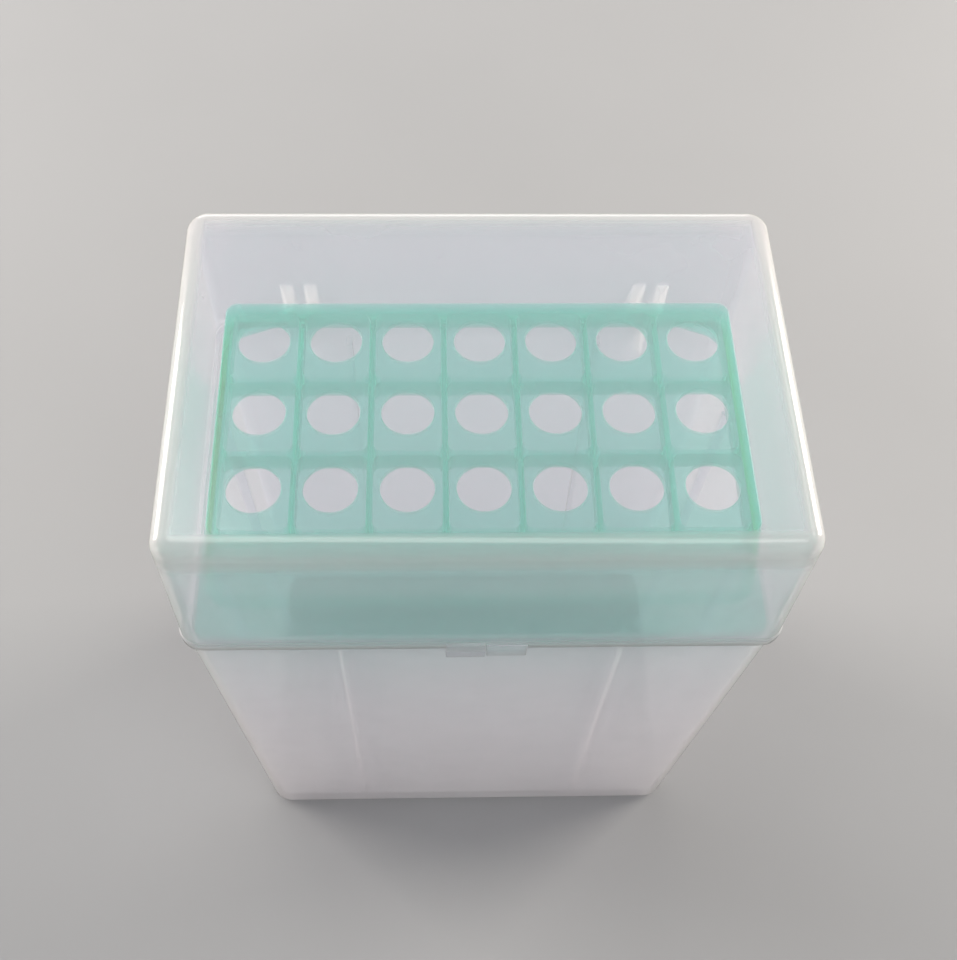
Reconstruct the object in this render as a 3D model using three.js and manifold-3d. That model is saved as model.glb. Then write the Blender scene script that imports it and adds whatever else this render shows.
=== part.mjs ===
// Tall hinged storage box for long laboratory tips or tubes: a tapered tub, a deep hinged lid, a perforated
// rack that stands in the tub's mouth, and the two pins of the lid's hinges.
// Millimetres, +Z up. The origin is the centre of the tub's underside, the finger tabs face -Y and the
// hinges are at +Y.
import * as THREE from 'three';
import { mergeVertices } from 'three/addons/utils/BufferGeometryUtils.js';
import Module from 'manifold-3d';

const wasm = await Module();
wasm.setup();

// Overall sizes
const HEIGHT = 192; // closed box, table to lid top
const LID_HEIGHT = 48; // lid top to the lower edge of the lid's lip
const SEAM_Z = HEIGHT - LID_HEIGHT;
const GAP = 0.3; // clearance between neighbouring pieces
const CUT_PAST = 5; // how far a cutting solid runs past the face that it cuts

// Resolution of the curved stretches
const CORNER_STEPS = 6;
const EDGE_STEPS = 4;
const HOLE_SIDES = 24;
const EYE_STEPS = 10;

// Lid
const LID_TOP_SIZE = new THREE.Vector2(145.6, 98);
const LID_DRAFT = 0.5; // how much each side leans out from the top to the lip
const LID_WALL = 1.6;
const LID_CORNER = 5.5;
const LID_TOP_EDGE = 4.5;
const LIP_HEIGHT = 2.8;
const LIP_PROUD = 0.35;
const LIP_OVERLAP = 2.2; // how far the lip hangs over the tub's rim

// Tub
const TUB_RIM_SIZE = new THREE.Vector2(145, 97.3);
const TUB_FOOT_SIZE = new THREE.Vector2(134.9, 87.2);
const TUB_WALL = 1.8;
const TUB_FLOOR = 2;
const TUB_RIM_CORNER = 5.3;
const TUB_FOOT_CORNER = 7;
const TUB_FOOT_EDGE = 1.5;
const RIM_Z = SEAM_Z + LIP_OVERLAP - GAP;
const STAY = { x: 35, y: 20, width: 1.4, depth: 3, topZ: 142.3 }; // upright ribs that carry the rack

// Rack
const DECK_Z = 173.2;
const DECK_THICKNESS = 2;
const DECK_BORDER = 1.35; // material outside the outermost cells
const DECK_CORNER = 3;
const COLUMNS = 7;
const ROWS = 3;
const PITCH = new THREE.Vector2(18, 21.5);
const HOLE_RADIUS = 6.5;
const HOLE_CHAMFER = 0.3;
const SKIRT_WALL = 1.5;
const SKIRT_SLOPE = Math.tan(THREE.MathUtils.degToRad(10));
const DECK_RIB = { width: 1.4, depth: 6 };
const RIB_FOOT_Z = DECK_Z - DECK_THICKNESS - DECK_RIB.depth;
const FLANGE_Z = STAY.topZ + GAP;
const FLANGE_THICKNESS = 1.6;
const BACK_GAP = { topHalfX: 48, shoulderZ: 151.4 }; // the skirt's back is cut away below these shoulders

// Hinges
const HINGE_X = 48;
const AXIS = new THREE.Vector2(54.2, 142.6); // Y and Z of the hinge line
const EYE_RADIUS = 3.2;
const EAR_WIDTH = 3.4;
const EAR_GAP = 3;
const EAR_TOP_Z = 161;
const EAR_TOP_DEPTH = 1;
const GUSSET_FOOT_Z = 126;
const GUSSET_FOOT_DEPTH = 1.5;
const GUSSET_MEETS_EYE = THREE.MathUtils.degToRad(-36); // where the gusset's slope runs into the round eye
const PIN_RADIUS = 1.2;
const PIN_LENGTH = EAR_GAP + 2 * EAR_WIDTH;
const PIN_FIT = 0.1; // clearance of the pin in the tub's eye, which grips it

// Finger tabs, side by side on the front
const TAB_CENTRE_X = 0.6;
const TAB_WIDTH = 9.7;
const TAB_THICKNESS = 1.5;
const TAB_DROP = 4; // how far the tabs reach below the lid's lip

// Colours
const NATURAL_PLASTIC = { color: 0xe4e3ea, roughness: 0.35, metalness: 0 };
const GREEN_PLASTIC = { color: 0x8fdcc0, roughness: 0.4, metalness: 0 };

// ---------------------------------------------------------------- helpers

function toSolid(geometry) {
  const bare = geometry.clone();
  bare.deleteAttribute('normal');
  bare.deleteAttribute('uv');
  const merged = mergeVertices(bare, 1e-4);
  return new wasm.Manifold(new wasm.Mesh({
    numProp: 3,
    vertProperties: new Float32Array(merged.attributes.position.array),
    triVerts: new Uint32Array(merged.index.array),
  }));
}

function toGeometry(solid) {
  const mesh = solid.getMesh();
  const geometry = new THREE.BufferGeometry();
  geometry.setAttribute('position', new THREE.BufferAttribute(mesh.vertProperties, 3));
  geometry.setIndex(new THREE.BufferAttribute(mesh.triVerts, 1));
  geometry.computeVertexNormals();
  return geometry;
}

function roundedOutline(halfX, halfY, radius) {
  const quarter = Math.PI / 2;
  const shape = new THREE.Shape();
  const corners = [[1, 1], [-1, 1], [-1, -1], [1, -1]];
  corners.forEach(([sx, sy], i) => {
    shape.absarc(sx * (halfX - radius), sy * (halfY - radius), radius, i * quarter, (i + 1) * quarter);
  });
  return shape.getPoints(CORNER_STEPS);
}

// A closed solid through rounded rectangles, listed from the bottom up.
function loft(levels) {
  const rings = levels.map(({ halfX, halfY, radius }) => roundedOutline(halfX, halfY, radius));
  const count = rings[0].length;
  const positions = rings.flatMap((ring, k) => ring.flatMap((p) => [p.x, p.y, levels[k].z]));
  const index = [];
  for (let k = 0; k + 1 < rings.length; k += 1) {
    for (let i = 0; i < count; i += 1) {
      const low = k * count;
      const high = low + count;
      const next = (i + 1) % count;
      index.push(low + i, low + next, high + next, low + i, high + next, high + i);
    }
  }
  const top = (rings.length - 1) * count;
  const bottomCap = THREE.ShapeUtils.triangulateShape(rings[0], []);
  const topCap = THREE.ShapeUtils.triangulateShape(rings.at(-1), []);
  bottomCap.forEach(([a, b, c]) => index.push(c, b, a));
  topCap.forEach(([a, b, c]) => index.push(top + a, top + b, top + c));
  const geometry = new THREE.BufferGeometry();
  geometry.setAttribute('position', new THREE.Float32BufferAttribute(positions, 3));
  geometry.setIndex(index);
  return toSolid(geometry);
}

// The levels of an edge rounded to radius edge, between a wall that ends at z and a flat face.
// facing is 1 for a top edge and -1 for a bottom edge; levels come from the bottom up.
function roundedEdge({ halfX, halfY, radius, z }, edge, facing) {
  const levels = [];
  for (let i = 0; i <= EDGE_STEPS; i += 1) {
    const angle = (i / EDGE_STEPS) * (Math.PI / 2);
    const inset = edge * (1 - Math.cos(angle));
    levels.push({
      halfX: halfX - inset,
      halfY: halfY - inset,
      radius: radius - inset,
      z: z - facing * edge * (1 - Math.sin(angle)),
    });
  }
  return facing > 0 ? levels : levels.reverse();
}

function box(x0, x1, y0, y1, z0, z1) {
  const geometry = new THREE.BoxGeometry(x1 - x0, y1 - y0, z1 - z0);
  geometry.translate((x0 + x1) / 2, (y0 + y1) / 2, (z0 + z1) / 2);
  return toSolid(geometry);
}

// A plate of the given width, centred on x, from an outline drawn in Y and Z.
function sidePlate(shape, x, width) {
  const geometry = new THREE.ExtrudeGeometry(shape, {
    depth: width,
    bevelEnabled: false,
    curveSegments: EYE_STEPS,
  });
  const toYZ = new THREE.Matrix4().makeBasis(
    new THREE.Vector3(0, 1, 0),
    new THREE.Vector3(0, 0, 1),
    new THREE.Vector3(1, 0, 0),
  );
  geometry.applyMatrix4(toYZ);
  geometry.translate(x - width / 2, 0, 0);
  return toSolid(geometry);
}

function hingeRod(x, radius, length) {
  const geometry = new THREE.CylinderGeometry(radius, radius, length, HOLE_SIDES);
  geometry.rotateZ(Math.PI / 2);
  geometry.translate(x, AXIS.x, AXIS.y);
  return geometry;
}

const join = (solids) => solids.reduce((sum, next) => sum.add(next));

// ---------------------------------------------------------------- lid

const lidTop = { halfX: LID_TOP_SIZE.x / 2, halfY: LID_TOP_SIZE.y / 2 };
const lidSkirt = { halfX: lidTop.halfX + LID_DRAFT, halfY: lidTop.halfY + LID_DRAFT };
const lipInner = { halfX: TUB_RIM_SIZE.x / 2 + GAP, halfY: TUB_RIM_SIZE.y / 2 + GAP };
const lipFace = lidSkirt.halfY + LIP_PROUD;

function lidLevels(offset, topZ) {
  const corner = LID_CORNER - offset;
  const skirt = { halfX: lidSkirt.halfX - offset, halfY: lidSkirt.halfY - offset, radius: corner };
  const top = { halfX: lidTop.halfX - offset, halfY: lidTop.halfY - offset, radius: corner, z: topZ };
  return { skirt, rounded: roundedEdge(top, LID_TOP_EDGE - offset, 1) };
}

function lidShell() {
  const outer = lidLevels(0, HEIGHT);
  const lip = {
    halfX: outer.skirt.halfX + LIP_PROUD,
    halfY: lipFace,
    radius: LID_CORNER + LIP_PROUD,
  };
  const outside = loft([
    { ...lip, z: SEAM_Z },
    { ...lip, z: SEAM_Z + LIP_HEIGHT - LIP_PROUD },
    { ...outer.skirt, z: SEAM_Z + LIP_HEIGHT },
    ...outer.rounded,
  ]);
  const inner = lidLevels(LID_WALL, HEIGHT - LID_WALL);
  const inside = loft([
    { ...inner.skirt, z: SEAM_Z - CUT_PAST },
    { ...inner.skirt, z: SEAM_Z },
    ...inner.rounded,
  ]);
  const seat = { ...lipInner, radius: TUB_RIM_CORNER + GAP };
  const rimSeat = loft([{ ...seat, z: SEAM_Z - CUT_PAST }, { ...seat, z: SEAM_Z + LIP_OVERLAP }]);
  return outside.subtract(inside).subtract(rimSeat);
}

function earOutline() {
  const root = lipInner.halfY + GAP / 2; // just inside the lip's wall
  const shape = new THREE.Shape();
  shape.moveTo(root, EAR_TOP_Z);
  shape.lineTo(root, SEAM_Z + GAP);
  shape.lineTo(AXIS.x - EYE_RADIUS, AXIS.y);
  shape.absarc(AXIS.x, AXIS.y, EYE_RADIUS, Math.PI, 2 * Math.PI);
  shape.lineTo(root + EAR_TOP_DEPTH, EAR_TOP_Z);
  return shape;
}

function lidEars() {
  const ears = [];
  for (const x of [-HINGE_X, HINGE_X]) {
    for (const side of [-1, 1]) {
      ears.push(sidePlate(earOutline(), x + (side * (EAR_GAP + EAR_WIDTH)) / 2, EAR_WIDTH));
    }
  }
  return join(ears);
}

function lidTab() {
  const x0 = TAB_CENTRE_X - TAB_WIDTH;
  const inner = -lipInner.halfY;
  return box(x0, TAB_CENTRE_X, inner - TAB_THICKNESS, inner, SEAM_Z - TAB_DROP, SEAM_Z + LIP_HEIGHT);
}

function lidTabNotch() {
  const x1 = TAB_CENTRE_X + TAB_WIDTH + 2 * GAP;
  const outer = -lipFace - CUT_PAST;
  const inner = -lipInner.halfY + GAP;
  return box(TAB_CENTRE_X, x1, outer, inner, SEAM_Z - CUT_PAST, SEAM_Z + LIP_OVERLAP);
}

function makeLid() {
  const bores = [-HINGE_X, HINGE_X].map((x) => (
    toSolid(hingeRod(x, PIN_RADIUS + GAP, PIN_LENGTH + CUT_PAST))
  ));
  return lidShell().add(lidEars()).subtract(lidTabNotch()).add(lidTab()).subtract(join(bores));
}

// ---------------------------------------------------------------- tub

const tubRim = { halfX: TUB_RIM_SIZE.x / 2, halfY: TUB_RIM_SIZE.y / 2 };
const tubFoot = { halfX: TUB_FOOT_SIZE.x / 2, halfY: TUB_FOOT_SIZE.y / 2 };

// The tub's outline at height z, moved in by offset.
function tubLevel(z, offset) {
  const share = z / RIM_Z;
  return {
    halfX: THREE.MathUtils.lerp(tubFoot.halfX, tubRim.halfX, share) - offset,
    halfY: THREE.MathUtils.lerp(tubFoot.halfY, tubRim.halfY, share) - offset,
    radius: THREE.MathUtils.lerp(TUB_FOOT_CORNER, TUB_RIM_CORNER, share) - offset,
    z,
  };
}

function tubShell() {
  const outside = loft([...roundedEdge(tubLevel(0, 0), TUB_FOOT_EDGE, -1), tubLevel(RIM_Z, 0)]);
  const inside = loft([tubLevel(TUB_FLOOR, TUB_WALL), tubLevel(RIM_Z + CUT_PAST, TUB_WALL)]);
  return outside.subtract(inside);
}

function rackStays() {
  const half = STAY.width / 2;
  const foot = TUB_FLOOR / 2;
  const plates = [-1, 1].flatMap((side) => {
    const x = side * STAY.x;
    const y = side * STAY.y;
    return [
      box(x - half, x + half, -tubRim.halfY, tubRim.halfY, foot, STAY.topZ),
      box(-tubRim.halfX, tubRim.halfX, y - half, y + half, foot, STAY.topZ),
    ];
  });
  const rootZone = loft([tubLevel(foot, TUB_WALL / 2), tubLevel(STAY.topZ, TUB_WALL / 2)]);
  const inset = TUB_WALL + STAY.depth;
  const middle = loft([tubLevel(TUB_FLOOR, inset), tubLevel(STAY.topZ + CUT_PAST, inset)]);
  return join(plates).intersect(rootZone).subtract(middle);
}

function eyeOutline() {
  const rimRoot = tubRim.halfY - TUB_WALL / 2;
  const root = tubLevel(GUSSET_FOOT_Z, TUB_WALL / 2).halfY;
  const shelf = SEAM_Z - 2 * GAP;
  const rise = (shelf - AXIS.y) / EYE_RADIUS;
  const shape = new THREE.Shape();
  shape.moveTo(rimRoot, shelf);
  shape.lineTo(root, GUSSET_FOOT_Z);
  shape.lineTo(root + GUSSET_FOOT_DEPTH, GUSSET_FOOT_Z);
  shape.absarc(AXIS.x, AXIS.y, EYE_RADIUS, GUSSET_MEETS_EYE, Math.PI - Math.asin(rise));
  return shape;
}

function tubEyes() {
  return join([-HINGE_X, HINGE_X].map((x) => sidePlate(eyeOutline(), x, EAR_GAP - 2 * GAP)));
}

function tubTab() {
  const x0 = TAB_CENTRE_X + GAP;
  const wall = -tubRim.halfY;
  const root = wall + TUB_WALL / 2;
  return box(x0, x0 + TAB_WIDTH, wall - TAB_THICKNESS, root, SEAM_Z - TAB_DROP, RIM_Z);
}

function makeTub() {
  const bores = [-HINGE_X, HINGE_X].map((x) => toSolid(hingeRod(x, PIN_RADIUS + PIN_FIT, EAR_GAP)));
  return tubShell().add(rackStays()).add(tubEyes()).add(tubTab()).subtract(join(bores));
}

// ---------------------------------------------------------------- rack

const deck = {
  halfX: (COLUMNS * PITCH.x) / 2 + DECK_BORDER,
  halfY: (ROWS * PITCH.y) / 2 + DECK_BORDER,
};

// The skirt's outline at height z, moved in by offset.
function skirtLevel(z, offset) {
  const spread = (DECK_Z - z) * SKIRT_SLOPE - offset;
  return {
    halfX: deck.halfX + spread,
    halfY: deck.halfY + spread,
    radius: DECK_CORNER + spread,
    z,
  };
}

function rackBody() {
  const outside = loft([skirtLevel(FLANGE_Z, 0), skirtLevel(DECK_Z, 0)]);
  const seat = tubLevel(FLANGE_Z, TUB_WALL + GAP);
  const flange = loft([seat, { ...seat, z: FLANGE_Z + FLANGE_THICKNESS }]);
  const underDeck = DECK_Z - DECK_THICKNESS;
  const inside = loft([skirtLevel(FLANGE_Z - CUT_PAST, SKIRT_WALL), skirtLevel(underDeck, SKIRT_WALL)]);
  return { outside, shell: outside.add(flange).subtract(inside) };
}

// Everything below the deck's back rib, except the skirt's two back corners above the shoulders.
function backCutter() {
  const low = FLANGE_Z - CUT_PAST;
  const halfX = tubRim.halfX;
  const shape = new THREE.Shape();
  shape.moveTo(-halfX, low);
  shape.lineTo(halfX, low);
  shape.lineTo(halfX, BACK_GAP.shoulderZ);
  shape.lineTo(BACK_GAP.topHalfX, RIB_FOOT_Z);
  shape.lineTo(-BACK_GAP.topHalfX, RIB_FOOT_Z);
  shape.lineTo(-halfX, BACK_GAP.shoulderZ);
  const start = deck.halfY - CUT_PAST;
  const end = tubRim.halfY;
  const geometry = new THREE.ExtrudeGeometry(shape, { depth: end - start, bevelEnabled: false });
  geometry.rotateX(Math.PI / 2);
  geometry.translate(0, end, 0);
  return toSolid(geometry);
}

function deckRibs() {
  const top = DECK_Z - DECK_THICKNESS / 2;
  const bottom = RIB_FOOT_Z;
  const reach = deck.halfX + DECK_RIB.depth;
  const half = DECK_RIB.width / 2;
  const ribs = [];
  for (let column = 1; column < COLUMNS; column += 1) {
    const x = (column - COLUMNS / 2) * PITCH.x;
    ribs.push(box(x - half, x + half, -reach, reach, bottom, top));
  }
  for (let row = 1; row < ROWS; row += 1) {
    const y = (row - ROWS / 2) * PITCH.y;
    ribs.push(box(-reach, reach, y - half, y + half, bottom, top));
  }
  return join(ribs);
}

function holeCutter(x, y) {
  const through = new THREE.CylinderGeometry(HOLE_RADIUS, HOLE_RADIUS, 2 * CUT_PAST, HOLE_SIDES);
  through.rotateX(Math.PI / 2);
  through.translate(x, y, DECK_Z);
  const wide = HOLE_RADIUS + 2 * HOLE_CHAMFER;
  const chamfer = new THREE.CylinderGeometry(wide, HOLE_RADIUS, 2 * HOLE_CHAMFER, HOLE_SIDES);
  chamfer.rotateX(Math.PI / 2);
  chamfer.translate(x, y, DECK_Z);
  return toSolid(through).add(toSolid(chamfer));
}

function makeRack() {
  const { outside, shell } = rackBody();
  const holes = [];
  for (let column = 0; column < COLUMNS; column += 1) {
    for (let row = 0; row < ROWS; row += 1) {
      const x = (column - (COLUMNS - 1) / 2) * PITCH.x;
      const y = (row - (ROWS - 1) / 2) * PITCH.y;
      holes.push(holeCutter(x, y));
    }
  }
  const ribs = deckRibs().intersect(outside);
  return shell.subtract(backCutter()).add(ribs).subtract(join(holes));
}

// ---------------------------------------------------------------- assembly

function piece(name, geometry, finish) {
  const mesh = new THREE.Mesh(geometry, new THREE.MeshStandardMaterial(finish));
  mesh.name = name;
  return mesh;
}

const storageBox = new THREE.Group();
storageBox.name = 'tip_storage_box';
storageBox.add(
  piece('tub', toGeometry(makeTub()), NATURAL_PLASTIC),
  piece('lid', toGeometry(makeLid()), NATURAL_PLASTIC),
  piece('rack', toGeometry(makeRack()), GREEN_PLASTIC),
  piece('hinge_pin_left', hingeRod(-HINGE_X, PIN_RADIUS, PIN_LENGTH), NATURAL_PLASTIC),
  piece('hinge_pin_right', hingeRod(HINGE_X, PIN_RADIUS, PIN_LENGTH), NATURAL_PLASTIC),
);

export default storageBox;
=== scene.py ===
"""A tall frosted storage box with a hinged lid and a mint-green rack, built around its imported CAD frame.

Metres, +Z up, origin at the centre of the tub's underside, front at -Y, hinges at +Y.
Each moulding is modelled as one closed skin and replaces its CAD node.
"""

import math

import bmesh
import bpy
from mathutils import Matrix, Vector


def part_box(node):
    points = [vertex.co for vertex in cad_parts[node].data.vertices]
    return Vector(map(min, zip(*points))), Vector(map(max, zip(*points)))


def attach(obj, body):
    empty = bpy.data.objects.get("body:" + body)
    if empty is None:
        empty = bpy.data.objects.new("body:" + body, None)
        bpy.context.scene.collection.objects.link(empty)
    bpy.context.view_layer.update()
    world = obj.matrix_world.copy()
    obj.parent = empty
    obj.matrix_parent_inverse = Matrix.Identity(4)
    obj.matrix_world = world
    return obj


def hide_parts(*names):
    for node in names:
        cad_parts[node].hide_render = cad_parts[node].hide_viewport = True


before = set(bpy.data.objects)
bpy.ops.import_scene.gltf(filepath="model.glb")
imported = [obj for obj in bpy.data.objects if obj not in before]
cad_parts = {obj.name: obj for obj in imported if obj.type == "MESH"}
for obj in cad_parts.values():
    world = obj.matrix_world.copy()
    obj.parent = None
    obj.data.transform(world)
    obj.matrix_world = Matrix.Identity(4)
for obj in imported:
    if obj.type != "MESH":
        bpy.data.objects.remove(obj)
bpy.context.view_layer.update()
MM = 0.001

# Sizes from the frame
_, LID_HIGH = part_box("lid")
_, TUB_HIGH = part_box("tub")
RACK_LOW, RACK_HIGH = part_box("rack")
PIN_LOW, PIN_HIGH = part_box("hinge_pin_right")
HEIGHT = LID_HIGH.z
DECK_Z = RACK_HIGH.z
RIM_Z = TUB_HIGH.z
HINGE_X = (PIN_LOW.x + PIN_HIGH.x) / 2
AXIS_Y = (PIN_LOW.y + PIN_HIGH.y) / 2
AXIS_Z = (PIN_LOW.z + PIN_HIGH.z) / 2
PIN_RADIUS = (PIN_HIGH.z - PIN_LOW.z) / 2

# Resolution of the curved stretches
CORNER_STEPS = 12
EDGE_STEPS = 8
HOLE_SIDES = 64
EYE_STEPS = 24
BEVEL_STEPS = 3

# Shared fit
GAP = 0.3 * MM
PIN_FIT = 0.1 * MM
SEAM_Z = HEIGHT - 48 * MM
CUT_PAST = 5 * MM

# Lid
LIP_PROUD = 0.35 * MM
LIP_HEIGHT = 2.8 * MM
LIP_OVERLAP = 2.2 * MM
LID_WALL = 1.6 * MM
LID_CORNER = 5.5 * MM
LID_TOP_EDGE = 4.5 * MM
LID_DRAFT = 0.5 * MM
LID_LONGER_BY = 23.8 * MM  # half the difference between the lid's length and width
LIP_ROUND = 0.3 * MM
LID_HALF_X = LID_HIGH.x - LIP_PROUD
LID_HALF_Y = LID_HALF_X - LID_LONGER_BY

# Tub
TUB_LONGER_BY = 23.85 * MM  # half the difference between the rim's length and width
TUB_HALF_X = TUB_HIGH.x
TUB_HALF_Y = TUB_HALF_X - TUB_LONGER_BY
TUB_TAPER = 5.05 * MM
TUB_WALL = 1.8 * MM
TUB_FLOOR = 2 * MM
TUB_RIM_CORNER = 5.3 * MM
TUB_FOOT_CORNER = 7 * MM
TUB_FOOT_EDGE = 1.5 * MM
TUB_RIM_ROUND = 0.25 * MM
TUB_FLOOR_ROUND = 1.2 * MM
STAY_TOP_Z = RACK_LOW.z - GAP
STAY_X = 35 * MM
STAY_Y = 20 * MM
STAY_WIDTH = 1.4 * MM
STAY_DEPTH = 3 * MM

# Rack
COLUMNS = 7
ROWS = 3
PITCH_X = 18 * MM
PITCH_Y = 21.5 * MM
HOLE_RADIUS = 6.5 * MM
HOLE_ROUND = 0.4 * MM
HOLE_PAST = 1 * MM  # how far the cutters of holes and pockets run past the deck and the ribs
DECK_BORDER = 1.35 * MM
DECK_THICKNESS = 2 * MM
DECK_CORNER = 3 * MM
DECK_EDGE = 0.6 * MM
RIB_WIDTH = 1.4 * MM
RIB_DEPTH = 6 * MM
POCKET_CORNER = 2 * MM
POCKET_DRAFT = 0.15 * MM
SKIRT_WALL = 1.5 * MM
SKIRT_SLOPE = math.tan(math.radians(10))
SKIRT_CORNER_MIN = 1 * MM
FLANGE_THICKNESS = 1.6 * MM
FLANGE_ROUND = 0.3 * MM
RIB_FOOT_Z = DECK_Z - DECK_THICKNESS - RIB_DEPTH
BACK_TOP_HALF_X = 48 * MM
SHOULDER_Z = 151.4 * MM

# Hinges
EYE_RADIUS = 3.2 * MM
EAR_WIDTH = 3.4 * MM
EAR_GAP = 3 * MM
EAR_TOP_Z = SEAM_Z + 17 * MM
EAR_TOP_DEPTH = 1 * MM
EAR_ROUND = 0.3 * MM
GUSSET_FOOT_Z = SEAM_Z - 18 * MM
GUSSET_FOOT_DEPTH = 1.5 * MM
GUSSET_MEETS_EYE = -36  # degrees round the eye
GUSSET_ROUND = 0.2 * MM
PIN_LENGTH = EAR_GAP + 2 * EAR_WIDTH
PIN_ROUND = 0.25 * MM
BORE_PAST = 1 * MM

# Finger tabs
TAB_CENTRE_X = 0.6 * MM
TAB_WIDTH = 9.7 * MM
TAB_THICKNESS = 1.5 * MM
TAB_DROP = 4 * MM
TAB_ROUND = 0.25 * MM

# Plastics: the colour that they scatter, the warm colour of the painted glow at edges that stands in for
# light gathered there, and the one seen through them
MILK = (0.94, 0.915, 0.95)
WARM_GLOW_PAINT = (1.0, 0.955, 0.92)
LAVENDER = (0.972, 0.976, 1.0)
MINT = (0.50, 0.96, 0.85)
MINT_GLOW_PAINT = (0.60, 0.98, 0.88)
MINT_INSIDE = (0.25, 0.965, 0.87)
MINT_DENSITY = 400  # per metre of plastic
PLASTIC_IOR = 1.49
CLOUD_PER_M = 28
CLOUD_RANGE = (0.92, 1.08)  # how much the haze varies
GRAIN_PER_M = 2600
WAVE_PER_M = 45
GRAIN_SHARE = 0.05
RELIEF = 0.6 * MM
BUMP_STRENGTH = 0.25
GLOSS_RANGE = (0.85, 1.2)
DUST = {"per_metre": 75, "share": 0.05, "radius": 0.02}
PAINTED_GLOW_HAZE = 0.9  # extra haze painted where light gathers in an edge, part of the painted glow
BAND_SHARE = 0.4  # how much of the painted glow a lip or a foot gets; lugs get all of it
BORDER_HAZE = 0.25  # extra haze in the painted glow band along the lid's top edges, standing in for light gathered by the rounded edge
# How far that band is painted towards the glow colour
BORDER_GLOW_SHARE = 0.6
BORDER_WIDTH = 6 * MM
LUG_FADE = 0.5 * MM
THINNEST_VIEW = 0.04  # the smallest cosine between the view and a face's normal
EDGE_ON = (0.1, 0.45)  # cosines between which a face turns from edge-on, painted in the glow colour, to plain

# Camera and lights
LENS_MM = 46.63
SENSOR_MM = 36
LENS_SHIFT = (0.0169, 0.0209)
YAW, PITCH, ROLL = 3.11, 59.73, -2.35  # degrees: to the right, down, clockwise
CAMERA_PLACE = (-0.01314, -0.17072, HEIGHT + 0.23109)
FLOOR_HALF = 3
FLOOR_COLOUR = (0.42, 0.42, 0.425)
SKY_COLOUR = (0.93, 0.95, 1, 1)
SKY_STRENGTH = 0.23
SOFT_WHITE = (1, 0.98, 0.95)


# ---------------------------------------------------------------- mesh helpers


def outline(half_x, half_y, radius):
    """Points of a rounded rectangle, anticlockwise seen from above."""
    points = []
    for quarter, (sx, sy) in enumerate(((1, 1), (-1, 1), (-1, -1), (1, -1))):
        for step in range(CORNER_STEPS + 1):
            angle = (quarter + step / CORNER_STEPS) * math.pi / 2
            x = sx * (half_x - radius) + radius * math.cos(angle)
            y = sy * (half_y - radius) + radius * math.sin(angle)
            points.append((x, y))
    return points


def object_of(mesh_maker, name):
    """An object whose mesh is what mesh_maker adds to an empty bmesh."""
    mesh = bpy.data.meshes.new(name)
    bm = bmesh.new()
    mesh_maker(bm)
    bmesh.ops.remove_doubles(bm, verts=bm.verts, dist=1e-7)
    bmesh.ops.recalc_face_normals(bm, faces=bm.faces)
    bm.to_mesh(mesh)
    bm.free()
    obj = bpy.data.objects.new(name, mesh)
    bpy.context.scene.collection.objects.link(obj)
    return obj


def loft(levels, name="loft"):
    """A closed solid through rings of points; each level is (outline points, z)."""

    def make(bm):
        rings = [[bm.verts.new((x, y, z)) for x, y in points] for points, z in levels]
        for low, high in zip(rings, rings[1:]):
            for i in range(len(low)):
                j = (i + 1) % len(low)
                bm.faces.new((low[i], low[j], high[j], high[i]))
        bm.faces.new(list(reversed(rings[0])))
        bm.faces.new(rings[-1])

    return object_of(make, name)


def level(half_x, half_y, radius, z):
    return outline(half_x, half_y, radius), z


def rounded_edge(half_x, half_y, radius, z, edge, facing):
    """Levels of an edge rounded to radius edge: facing 1 is a top edge at z, -1 a bottom edge."""
    levels = []
    for step in range(EDGE_STEPS + 1):
        angle = step / EDGE_STEPS * math.pi / 2
        inset = edge * (1 - math.cos(angle))
        height = z - facing * edge * (1 - math.sin(angle))
        levels.append(level(half_x - inset, half_y - inset, radius - inset, height))
    return levels if facing > 0 else levels[::-1]


def block(x0, x1, y0, y1, z0, z1, bevel=0.0):
    """A box, its edges rounded by bevel."""

    def make(bm):
        bmesh.ops.create_cube(bm, size=1)
        size = Vector((x1 - x0, y1 - y0, z1 - z0))
        centre = Vector((x0 + x1, y0 + y1, z0 + z1)) / 2
        bm.transform(Matrix.Translation(centre) @ Matrix.Diagonal((*size, 1)))
        if bevel:
            edges = bm.edges[:]
            bmesh.ops.bevel(bm, geom=edges, offset=bevel, segments=BEVEL_STEPS, affect="EDGES", profile=0.5)

    return object_of(make, "block")


def side_plate(points, x, width, bevel=0.0):
    """A plate centred on x from an outline in Y and Z, with its outer edges rounded."""

    def make(bm):
        low = [bm.verts.new((x - width / 2, y, z)) for y, z in points]
        face = bm.faces.new(low)
        grown = bmesh.ops.extrude_face_region(bm, geom=[face])
        moved = [v for v in grown["geom"] if isinstance(v, bmesh.types.BMVert)]
        bmesh.ops.translate(bm, verts=moved, vec=(width, 0, 0))
        if bevel:
            rims = [e for e in bm.edges if abs(e.verts[0].co.x - e.verts[1].co.x) < 1e-9]
            bmesh.ops.bevel(bm, geom=rims, offset=bevel, segments=BEVEL_STEPS, affect="EDGES", profile=0.5)

    return object_of(make, "plate")


def lathe(profile, sides, name="lathe"):
    """A closed solid of revolution about Z from (radius, z) pairs, bottom up."""
    levels = []
    for radius, z in profile:
        ring = [
            (radius * math.cos(2 * math.pi * i / sides), radius * math.sin(2 * math.pi * i / sides))
            for i in range(sides)
        ]
        levels.append((ring, z))
    return loft(levels, name)


def rod(x, radius, length, edge=0.0):
    """A rod along X on the hinge line, its ends rounded by edge."""
    half = length / 2
    profile = [(radius - edge, -half), (radius, -half + edge), (radius, half - edge), (radius - edge, half)]
    obj = lathe(profile if edge else [(radius, -half), (radius, half)], EYE_STEPS * 2)
    turn = Matrix.Rotation(math.pi / 2, 4, "Y")
    obj.data.transform(Matrix.Translation((x, AXIS_Y, AXIS_Z)) @ turn)
    return obj


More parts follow.
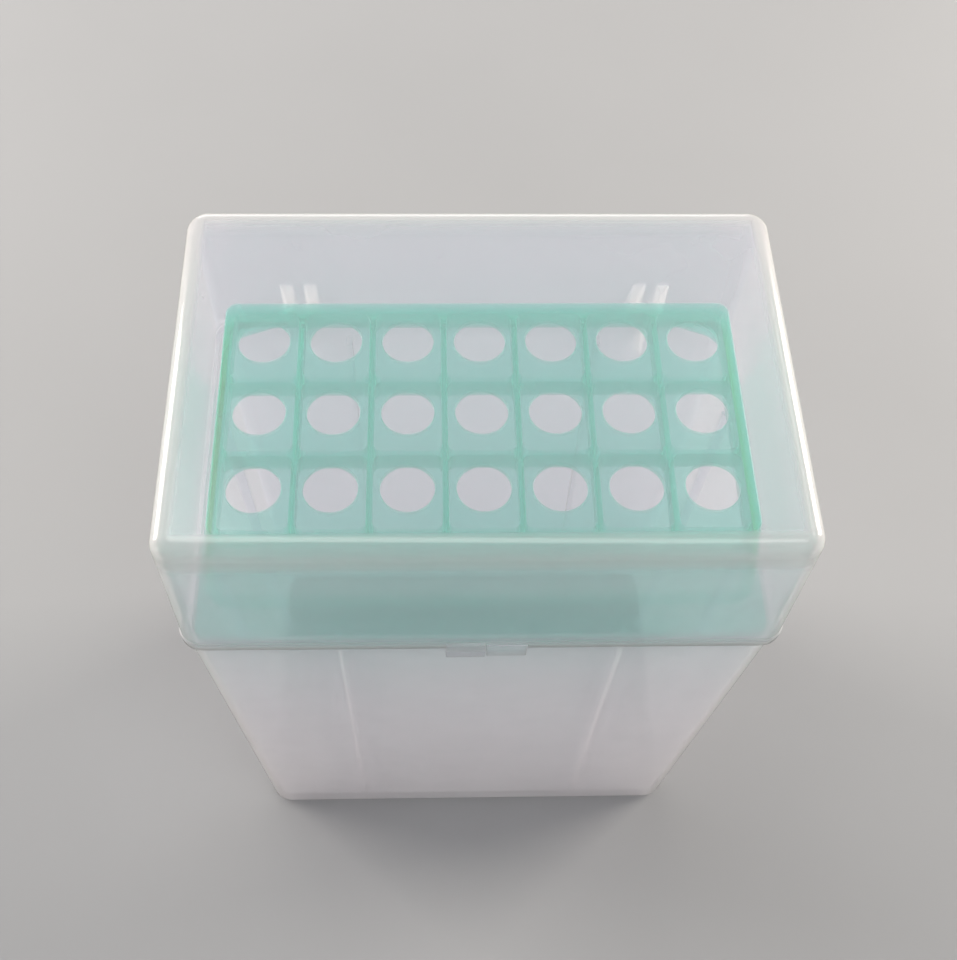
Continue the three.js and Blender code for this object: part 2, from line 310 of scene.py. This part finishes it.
def gather(objects):
    """Puts the meshes of separate, non-touching objects in the first one, and removes the rest."""
    first = objects[0]
    bm = bmesh.new()
    for obj in objects:
        bm.from_mesh(obj.data)
    bm.to_mesh(first.data)
    bm.free()
    for obj in objects[1:]:
        bpy.data.objects.remove(obj)
    return first


def boolean(target, others, operation):
    """Joins or cuts target with each of the others, which are used up."""
    for other in others:
        modifier = target.modifiers.new("boolean", "BOOLEAN")
        modifier.operation = operation
        modifier.solver = "EXACT"
        modifier.object = other
    evaluated = target.evaluated_get(bpy.context.evaluated_depsgraph_get())
    mesh = bpy.data.meshes.new_from_object(evaluated)
    target.modifiers.clear()
    target.data = mesh
    for other in others:
        bpy.data.objects.remove(other)
    return target


def smooth(obj, angle=35):
    for polygon in obj.data.polygons:
        polygon.use_smooth = True
    obj.data.set_sharp_from_angle(angle=math.radians(angle))


def finish_piece(obj, name, material, slot, body, *nodes):
    """Names and finishes a piece that moves with body and stands in for these CAD nodes."""
    obj.name = name
    obj.data.name = name
    obj.data.materials.clear()
    obj.data.materials.append(material)
    smooth(obj)
    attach(obj, body)
    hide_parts(*nodes)


# ---------------------------------------------------------------- lid


def lid_levels(offset, top_z):
    """Levels of the lid's rounded top, offset inwards from its outside."""
    corner = LID_CORNER - offset
    top_x = LID_HALF_X - LID_DRAFT - offset
    top_y = LID_HALF_Y - LID_DRAFT - offset
    return rounded_edge(top_x, top_y, corner, top_z, LID_TOP_EDGE - offset, 1)


def lid_shell():
    lip = (LID_HALF_X + LIP_PROUD, LID_HALF_Y + LIP_PROUD, LID_CORNER + LIP_PROUD)
    skirt = (LID_HALF_X, LID_HALF_Y, LID_CORNER)
    outer = [
        level(*(size - LIP_ROUND for size in lip), SEAM_Z),
        level(*(size - LIP_ROUND / 3 for size in lip), SEAM_Z + LIP_ROUND / 3),
        level(*lip, SEAM_Z + LIP_ROUND),
        level(*lip, SEAM_Z + LIP_HEIGHT - LIP_PROUD),
        level(*skirt, SEAM_Z + LIP_HEIGHT),
        *lid_levels(0, HEIGHT),
    ]
    inner_skirt = (LID_HALF_X - LID_WALL, LID_HALF_Y - LID_WALL, LID_CORNER - LID_WALL)
    inner = [
        level(*inner_skirt, SEAM_Z - CUT_PAST),
        level(*inner_skirt, SEAM_Z),
        *lid_levels(LID_WALL, HEIGHT - LID_WALL),
    ]
    seat = (TUB_HALF_X + GAP, TUB_HALF_Y + GAP, TUB_RIM_CORNER + GAP)
    rim_seat = [level(*seat, SEAM_Z - CUT_PAST), level(*seat, SEAM_Z + LIP_OVERLAP)]
    return boolean(loft(outer), [loft(inner), loft(rim_seat)], "DIFFERENCE")


def eye_arc(start, end):
    """Points round the hinge eye, from angle start to end in degrees, in Y and Z."""
    points = []
    for step in range(EYE_STEPS + 1):
        angle = math.radians(start + (end - start) * step / EYE_STEPS)
        points.append((AXIS_Y + EYE_RADIUS * math.cos(angle), AXIS_Z + EYE_RADIUS * math.sin(angle)))
    return points


def lid_ears():
    root = TUB_HALF_Y + 1.5 * GAP
    profile = [(root, EAR_TOP_Z), (root, SEAM_Z + GAP), *eye_arc(180, 360), (root + EAR_TOP_DEPTH, EAR_TOP_Z)]
    ears = []
    for x in (-HINGE_X, HINGE_X):
        for side in (-1, 1):
            centre = x + side * (EAR_GAP + EAR_WIDTH) / 2
            ears.append(side_plate(profile, centre, EAR_WIDTH, EAR_ROUND))
    return ears


def make_lid(material):
    lid = lid_shell()
    inner = -(TUB_HALF_Y + GAP)
    notch = block(
        TAB_CENTRE_X,
        TAB_CENTRE_X + TAB_WIDTH + 2 * GAP,
        -(LID_HALF_Y + LIP_PROUD) - CUT_PAST,
        inner + GAP,
        SEAM_Z - CUT_PAST,
        SEAM_Z + LIP_OVERLAP,
    )
    tab = block(
        TAB_CENTRE_X - TAB_WIDTH,
        TAB_CENTRE_X,
        inner - TAB_THICKNESS,
        inner,
        SEAM_Z - TAB_DROP,
        SEAM_Z + LIP_HEIGHT,
        bevel=TAB_ROUND,
    )
    boolean(lid, [notch], "DIFFERENCE")
    boolean(lid, [tab, *lid_ears()], "UNION")
    bores = [rod(x, PIN_RADIUS + GAP, PIN_LENGTH + 2 * BORE_PAST) for x in (-HINGE_X, HINGE_X)]
    boolean(lid, bores, "DIFFERENCE")
    finish_piece(lid, "lid_shell", material, "natural_plastic", "lid", "lid")


# ---------------------------------------------------------------- tub


def tub_size(z, offset):
    """Half sizes and corner radius of the tapered tub at height z, offset inwards from its outside."""
    share = z / RIM_Z
    grow = TUB_TAPER * (1 - share) + offset
    corner = TUB_FOOT_CORNER + (TUB_RIM_CORNER - TUB_FOOT_CORNER) * share - offset
    return TUB_HALF_X - grow, TUB_HALF_Y - grow, corner


def tub_shell():
    outer = [
        *rounded_edge(*tub_size(0, 0), 0, TUB_FOOT_EDGE, -1),
        level(*tub_size(RIM_Z - TUB_RIM_ROUND, 0), RIM_Z - TUB_RIM_ROUND),
        level(*tub_size(RIM_Z, TUB_RIM_ROUND), RIM_Z),
    ]
    inner = [
        *rounded_edge(*tub_size(TUB_FLOOR, TUB_WALL), TUB_FLOOR, TUB_FLOOR_ROUND, -1),
        level(*tub_size(RIM_Z + CUT_PAST, TUB_WALL), RIM_Z + CUT_PAST),
    ]
    return boolean(loft(outer), [loft(inner)], "DIFFERENCE")


def stay(place, side, axis):
    """One rib at place along its wall: axis 1 is a wall across Y, axis 0 a wall across X."""
    rings = []
    for z in (TUB_FLOOR / 2, STAY_TOP_Z):
        wall = side * tub_size(z, TUB_WALL / 2)[axis]
        inner = side * tub_size(z, TUB_WALL + STAY_DEPTH)[axis]
        low = place - STAY_WIDTH / 2
        high = place + STAY_WIDTH / 2
        ring = [(low, wall), (high, wall), (high, inner), (low, inner)]
        rings.append((ring if axis else [(v, u) for u, v in ring], z))
    return loft(rings, "stay")


def rack_stays():
    """Upright ribs inside the four walls, following the walls' slope; the rack stands on them."""
    stays = []
    for along, axis in ((STAY_X, 1), (STAY_Y, 0)):
        for place in (-along, along):
            for side in (-1, 1):
                stays.append(stay(place, side, axis))
    return stays


def tub_eyes():
    root = tub_size(GUSSET_FOOT_Z, TUB_WALL / 2)[1]
    rim_root = TUB_HALF_Y - TUB_WALL / 2
    shelf = SEAM_Z - 2 * GAP
    rise = math.degrees(math.asin((shelf - AXIS_Z) / EYE_RADIUS))
    profile = [
        (rim_root, shelf),
        (root, GUSSET_FOOT_Z),
        (root + GUSSET_FOOT_DEPTH, GUSSET_FOOT_Z),
        *eye_arc(GUSSET_MEETS_EYE, 180 - rise),
    ]
    return [side_plate(profile, x, EAR_GAP - 2 * GAP, GUSSET_ROUND) for x in (-HINGE_X, HINGE_X)]


def make_tub(material):
    tub = tub_shell()
    x0 = TAB_CENTRE_X + GAP
    tab = block(
        x0,
        x0 + TAB_WIDTH,
        -TUB_HALF_Y - TAB_THICKNESS,
        -TUB_HALF_Y + TUB_WALL / 2,
        SEAM_Z - TAB_DROP,
        RIM_Z,
        bevel=TAB_ROUND,
    )
    boolean(tub, [*rack_stays(), *tub_eyes(), tab], "UNION")
    bores = [rod(x, PIN_RADIUS + PIN_FIT, EAR_GAP) for x in (-HINGE_X, HINGE_X)]
    boolean(tub, bores, "DIFFERENCE")
    finish_piece(tub, "tub_shell", material, "natural_plastic", "tub", "tub")


# ---------------------------------------------------------------- rack

DECK_HALF_X = COLUMNS * PITCH_X / 2 + DECK_BORDER
DECK_HALF_Y = ROWS * PITCH_Y / 2 + DECK_BORDER


def skirt_size(z, offset):
    """Half sizes and corner radius of the rack's skirt at height z, offset inwards from its outside."""
    spread = (DECK_Z - z) * SKIRT_SLOPE - offset
    return DECK_HALF_X + spread, DECK_HALF_Y + spread, max(DECK_CORNER + spread, SKIRT_CORNER_MIN)


def cell_centres():
    for column in range(COLUMNS):
        for row in range(ROWS):
            x = (column - (COLUMNS - 1) / 2) * PITCH_X
            y = (row - (ROWS - 1) / 2) * PITCH_Y
            yield x, y


def hole_cutter(x, y):
    """A cutter for one hole, flared so that the hole's two rims come out rounded."""
    profile = []
    for facing, face in ((-1, DECK_Z - DECK_THICKNESS), (1, DECK_Z)):
        arc = []
        for step in range(EDGE_STEPS + 1):
            angle = step / EDGE_STEPS * math.pi / 2
            radius = HOLE_RADIUS + HOLE_ROUND * (1 - math.cos(angle))
            arc.append((radius, face - facing * HOLE_ROUND * (1 - math.sin(angle))))
        arc.append((HOLE_RADIUS + HOLE_ROUND, face + facing * HOLE_PAST))
        profile += arc if facing > 0 else arc[::-1]
    cutter = lathe(profile, HOLE_SIDES, "hole")
    cutter.data.transform(Matrix.Translation((x, y, 0)))
    return cutter


def pocket_cutter(x, y):
    """The space between the ribs under one hole, its corners rounded, opening downwards."""
    half_x = (PITCH_X - RIB_WIDTH) / 2
    half_y = (PITCH_Y - RIB_WIDTH) / 2
    top = DECK_Z - DECK_THICKNESS
    levels = [
        level(half_x + POCKET_DRAFT, half_y + POCKET_DRAFT, POCKET_CORNER, top - RIB_DEPTH - HOLE_PAST),
        level(half_x, half_y, POCKET_CORNER, top),
    ]
    cutter = loft(levels, "pocket")
    cutter.data.transform(Matrix.Translation((x, y, 0)))
    return cutter


def back_cutter():
    """Everything below the deck's back rib, except the skirt's two back corners above the shoulders."""
    half_x = TUB_HALF_X
    low = RACK_LOW.z - CUT_PAST
    points = [
        (-half_x, low),
        (half_x, low),
        (half_x, SHOULDER_Z),
        (BACK_TOP_HALF_X, RIB_FOOT_Z),
        (-BACK_TOP_HALF_X, RIB_FOOT_Z),
        (-half_x, SHOULDER_Z),
    ]
    start = DECK_HALF_Y - CUT_PAST

    def make(bm):
        face = bm.faces.new([bm.verts.new((x, start, z)) for x, z in points])
        grown = bmesh.ops.extrude_face_region(bm, geom=[face])
        moved = [v for v in grown["geom"] if isinstance(v, bmesh.types.BMVert)]
        bmesh.ops.translate(bm, verts=moved, vec=(0, TUB_HALF_Y - start, 0))

    return object_of(make, "back_gap")


def make_rack(material):
    base = RACK_LOW.z
    side = rounded_edge(*skirt_size(DECK_Z, 0), DECK_Z, DECK_EDGE, 1)
    rack = loft([level(*skirt_size(base, 0), base), *side])
    flange_size = tub_size(base, TUB_WALL + GAP)
    flange = loft([
        level(*flange_size, base),
        *rounded_edge(*flange_size, base + FLANGE_THICKNESS, FLANGE_ROUND, 1),
    ])
    boolean(rack, [flange], "UNION")
    low = base - CUT_PAST
    hollow = loft([
        level(*skirt_size(low, SKIRT_WALL), low),
        level(*skirt_size(RIB_FOOT_Z, SKIRT_WALL), RIB_FOOT_Z),
    ])
    boolean(rack, [hollow, back_cutter()], "DIFFERENCE")
    cells = list(cell_centres())
    boolean(rack, [gather([pocket_cutter(x, y) for x, y in cells])], "DIFFERENCE")
    boolean(rack, [gather([hole_cutter(x, y) for x, y in cells])], "DIFFERENCE")
    finish_piece(rack, "rack_insert", material, "green_plastic", "rack", "rack")


# ---------------------------------------------------------------- hinge pins


def make_pins(material):
    for side, x in (("left", -HINGE_X), ("right", HINGE_X)):
        pin = rod(x, PIN_RADIUS, PIN_LENGTH, edge=PIN_ROUND)
        finish_piece(pin, f"pin_{side}", material, "hinge_pin", "tub", f"hinge_pin_{side}")


# ---------------------------------------------------------------- materials


class Graph:
    """A material's node tree, with short calls for the nodes used here."""

    def __init__(self, name):
        self.material = bpy.data.materials.new(name)
        self.material.use_nodes = True
        self.tree = self.material.node_tree
        self.tree.nodes.clear()
        self.place = self.node("ShaderNodeTexCoord").outputs["Object"]

    def node(self, kind, settings=(), **inputs):
        node = self.tree.nodes.new(kind)
        for key, value in dict(settings).items():
            setattr(node, key, value)
        for key, value in inputs.items():
            self.feed(node.inputs[key.replace("_", " ")], value)
        return node

    def feed(self, socket, value):
        if isinstance(value, bpy.types.NodeSocket):
            self.tree.links.new(value, socket)
        elif isinstance(value, tuple) and len(value) == 3 and socket.type == "RGBA":
            socket.default_value = (*value, 1)
        else:
            socket.default_value = value

    def math(self, operation, *values):
        node = self.node("ShaderNodeMath", {"operation": operation})
        for socket, value in zip(node.inputs, values):
            self.feed(socket, value)
        return node.outputs[0]

    def axis(self, letter):
        return self.node("ShaderNodeSeparateXYZ", Vector=self.place).outputs[letter]

    def noise(self, scale, detail=2):
        return self.node("ShaderNodeTexNoise", Vector=self.place, Scale=scale, Detail=detail).outputs["Fac"]

    def ramp(self, value, low, high, out_low=0.0, out_high=1.0):
        node = self.node("ShaderNodeMapRange", {"interpolation_type": "SMOOTHSTEP"})
        for key, entry in (("Value", value), ("From Min", low), ("From Max", high)):
            self.feed(node.inputs[key], entry)
        self.feed(node.inputs["To Min"], out_low)
        self.feed(node.inputs["To Max"], out_high)
        return node.outputs[0]

    def near(self, value, centre, half, fade):
        """1 where value is within half of centre, falling to 0 over fade."""
        away = self.math("ABSOLUTE", self.math("SUBTRACT", value, centre))
        return self.ramp(away, half, half + fade, 1.0, 0.0)

    def tint(self, factor, first, second):
        node = self.node("ShaderNodeMix", {"data_type": "RGBA"})
        self.feed(node.inputs["Factor"], factor)
        self.feed(node.inputs[6], first)
        self.feed(node.inputs[7], second)
        return node.outputs[2]

    def blend(self, factor, first, second):
        node = self.node("ShaderNodeMixShader", Fac=factor)
        self.feed(node.inputs[1], first)
        self.feed(node.inputs[2], second)
        return node.outputs[0]

    def specks(self, per_metre, share, radius):
        """Sparse dots: 1 inside a dot. share is how many of the cells hold one, radius is in cells."""
        cells = self.node("ShaderNodeTexVoronoi", Vector=self.place, Scale=per_metre).outputs
        chance = self.node("ShaderNodeSeparateColor", Color=cells["Color"]).outputs[0]
        chosen = self.math("LESS_THAN", chance, share)
        dot = self.ramp(cells["Distance"], radius * 0.6, radius, 1.0, 0.0)
        return self.math("MULTIPLY", chosen, dot)


def painted_edge_glow(graph, bands, lugs_from):
    """Mask of the painted glow that stands in for light gathered in edges: a share in bands of height, given
    as centre and half width, and all of it behind y = lugs_from.
    """
    glow = graph.ramp(graph.axis("Y"), lugs_from, lugs_from + LUG_FADE)
    for centre, half in bands:
        band = graph.math("MULTIPLY", graph.near(graph.axis("Z"), centre, half, half * 0.6), BAND_SHARE)
        glow = graph.math("MAXIMUM", glow, band)
    return glow


def top_border(graph, half_x, half_y, top_z):
    """1 along the top edges of a box with these half sizes and this top."""
    sides = []
    for letter, half in (("X", half_x), ("Y", half_y)):
        away = graph.math("ABSOLUTE", graph.axis(letter))
        sides.append(graph.ramp(away, half - BORDER_WIDTH, half - 0.75 * BORDER_WIDTH))
    high = graph.ramp(graph.axis("Z"), top_z - 1.6 * BORDER_WIDTH, top_z - BORDER_WIDTH)
    return graph.math("MULTIPLY", graph.math("MAXIMUM", *sides), high)


def frosted(name, milk, edge, haze, gloss, glow=None, border=None, dust=0, absorb=None, through=(1, 1, 1)):
    """Frosted moulded plastic.

    haze is the optical depth of one face. Light that misses it goes straight on, and the rest is scattered to
    both sides in the milk colour, so a wall seen edge-on looks white. edge is the colour of a painted glow
    that stands in for light gathered in edges, and faces seen edge-on are tinted towards it. glow and border
    are what painted_edge_glow and top_border need, and make the plastic whiter there with more haze and a
    painted tint towards the edge colour. dust is the haze of the specks on it. absorb is the colour and
    density of the plastic's inside.
    """
    graph = Graph(name)
    cloud = graph.noise(CLOUD_PER_M, 3)
    depth = graph.math("MULTIPLY", haze, graph.ramp(cloud, 0.3, 0.7, *CLOUD_RANGE))
    if dust:
        depth = graph.math("ADD", depth, graph.math("MULTIPLY", graph.specks(**DUST), dust))
    colour = milk
    if glow:
        # Painted glow: more haze and a tint towards the edge colour in the glow bands and on the hinge lugs.
        painted_glow_mask = painted_edge_glow(graph, *glow)
        depth = graph.math("ADD", depth, graph.math("MULTIPLY", painted_glow_mask, PAINTED_GLOW_HAZE))
        colour = graph.tint(painted_glow_mask, colour, edge)
    if border:
        # Painted glow band along the lid's top edges: more haze and a tint towards the edge colour.
        painted_band = top_border(graph, *border)
        depth = graph.math("ADD", depth, graph.math("MULTIPLY", painted_band, BORDER_HAZE))
        colour = graph.tint(graph.math("MULTIPLY", painted_band, BORDER_GLOW_SHARE), colour, edge)

    facing = graph.node("ShaderNodeLayerWeight", Blend=0.5).outputs["Facing"]
    cosine = graph.math("MAXIMUM", graph.math("SUBTRACT", 1.0, facing), THINNEST_VIEW)
    clear = graph.math("EXPONENT", graph.math("MULTIPLY", graph.math("DIVIDE", depth, cosine), -1.0))
    # Painted glow: faces seen edge-on are tinted towards the edge colour, standing in for light gathered
    # along the wall.
    colour = graph.tint(graph.ramp(cosine, *EDGE_ON, 1.0, 0.0), colour, edge)

    grain = graph.math("MULTIPLY", graph.noise(GRAIN_PER_M), GRAIN_SHARE)
    relief = graph.math("ADD", grain, graph.noise(WAVE_PER_M))
    bump = graph.node("ShaderNodeBump", Strength=BUMP_STRENGTH, Distance=RELIEF, Height=relief).outputs[0]
    rough = graph.ramp(cloud, 0.25, 0.75, *(gloss * share for share in GLOSS_RANGE))

    see = graph.node("ShaderNodeBsdfTransparent", Color=through).outputs[0]
    body = graph.node("ShaderNodeBsdfPrincipled", Base_Color=colour, Roughness=rough, Normal=bump)
    body.inputs["IOR"].default_value = PLASTIC_IOR
    lit_through = graph.node("ShaderNodeBsdfTranslucent", Color=colour).outputs[0]
    shine = graph.node("ShaderNodeBsdfGlossy", Roughness=rough, Normal=bump).outputs[0]
    fresnel = graph.node("ShaderNodeFresnel", IOR=PLASTIC_IOR).outputs[0]
    outside = graph.math("SUBTRACT", 1.0, graph.node("ShaderNodeNewGeometry").outputs["Backfacing"])
    scatter = graph.blend(0.5, body.outputs[0], lit_through)
    seen = graph.blend(clear, scatter, see)
    surface = graph.blend(graph.math("MULTIPLY", fresnel, outside), seen, shine)
    out = graph.node("ShaderNodeOutputMaterial", Surface=surface)
    if absorb:
        inside_colour, density = absorb
        inside = graph.node("ShaderNodeVolumeAbsorption", Color=inside_colour, Density=density)
        graph.feed(out.inputs["Volume"], inside.outputs[0])
    return graph.material


def natural_plastic_lid():
    lip = (SEAM_Z + LIP_HEIGHT / 2, LIP_HEIGHT / 2)
    return frosted(
        "natural_plastic_lid",
        MILK,
        WARM_GLOW_PAINT,
        haze=0.21,
        gloss=0.16,
        # painted glow along the lip and on the hinge ears
        glow=([lip], LID_HALF_Y + 0.5 * MM),
        # painted glow band along the lid's top edges
        border=(LID_HALF_X, LID_HALF_Y, HEIGHT),
        dust=0.5,
        through=LAVENDER,
    )


def natural_plastic_tub():
    foot = (0.2 * MM, 0.9 * MM)
    return frosted(
        "natural_plastic_tub",
        MILK,
        WARM_GLOW_PAINT,
        haze=0.38,
        gloss=0.22,
        # painted glow along the foot and on the hinge eyes and pins
        glow=([foot], TUB_HALF_Y + 1.5 * MM),
        dust=0.3,
        through=LAVENDER,
    )


def green_plastic():
    return frosted(
        "green_plastic", MINT, MINT_GLOW_PAINT, haze=0.2, gloss=0.3, absorb=(MINT_INSIDE, MINT_DENSITY)
    )


def matt(name, colour, roughness):
    """Plain matt floor with a faint mottle."""
    graph = Graph(name)
    mottle = graph.ramp(graph.noise(6, 3), 0.3, 0.7)
    shade = tuple(c * 0.97 for c in colour)
    mottled = graph.tint(mottle, colour, shade)
    body = graph.node("ShaderNodeBsdfPrincipled", Base_Color=mottled, Roughness=roughness)
    graph.node("ShaderNodeOutputMaterial", Surface=body.outputs[0])
    return graph.material


# ---------------------------------------------------------------- stage


def make_camera():
    """In front, a little to the left, looking down about 60 degrees."""
    data = bpy.data.cameras.new("camera")
    data.lens = LENS_MM
    data.sensor_width = SENSOR_MM
    data.shift_x, data.shift_y = LENS_SHIFT
    data.clip_start = 0.01
    camera = bpy.data.objects.new("camera", data)
    bpy.context.scene.collection.objects.link(camera)
    yaw, pitch, roll = (math.radians(angle) for angle in (YAW, PITCH, ROLL))
    forward = Vector((math.sin(yaw) * math.cos(pitch), math.cos(yaw) * math.cos(pitch), -math.sin(pitch)))
    level_right = Vector((math.cos(yaw), -math.sin(yaw), 0))
    level_down = forward.cross(level_right)
    right = level_right * math.cos(roll) + level_down * math.sin(roll)
    down = level_down * math.cos(roll) - level_right * math.sin(roll)
    turn = Matrix((right, -down, -forward)).transposed().to_4x4()
    camera.matrix_world = Matrix.Translation(CAMERA_PLACE) @ turn
    bpy.context.scene.camera = camera


def area_light(name, place, aim, size, power, colour):
    data = bpy.data.lights.new(name, "AREA")
    data.shape = "RECTANGLE"
    data.size, data.size_y = size
    data.energy = power
    data.color = colour
    light = bpy.data.objects.new(name, data)
    light.location = place
    light.rotation_euler = (Vector(aim) - Vector(place)).to_track_quat("-Z", "Y").to_euler()
    bpy.context.scene.collection.objects.link(light)


def make_stage():
    floor = object_of(
        lambda bm: bmesh.ops.create_grid(bm, x_segments=1, y_segments=1, size=FLOOR_HALF), "floor"
    )
    floor.data.materials.append(matt("pale_floor", FLOOR_COLOUR, 0.8))
    world = bpy.data.worlds.new("studio")
    world.use_nodes = True
    sky = world.node_tree.nodes["Background"].inputs
    sky["Color"].default_value = SKY_COLOUR
    sky["Strength"].default_value = SKY_STRENGTH
    bpy.context.scene.world = world
    bpy.context.scene.view_settings.view_transform = "Standard"
    middle = (0, 0, HEIGHT / 2)
    area_light("overhead", (-0.05, -0.05, 1.25), middle, (1.5, 0.35), 6.6, SOFT_WHITE)
    area_light("right", (0.95, 0.4, 0.35), middle, (0.5, 0.4), 11, (1, 0.94, 0.86))
    area_light("left", (-0.95, 0.4, 0.35), middle, (0.5, 0.4), 9.5, (1, 0.95, 0.89))
    area_light("behind", (-0.1, 1.0, 0.3), middle, (0.9, 0.4), 3, SOFT_WHITE)


# ---------------------------------------------------------------- assembly

make_camera()
tub_plastic = natural_plastic_tub()
make_tub(tub_plastic)
make_rack(green_plastic())
make_lid(natural_plastic_lid())
make_pins(tub_plastic)
make_stage()
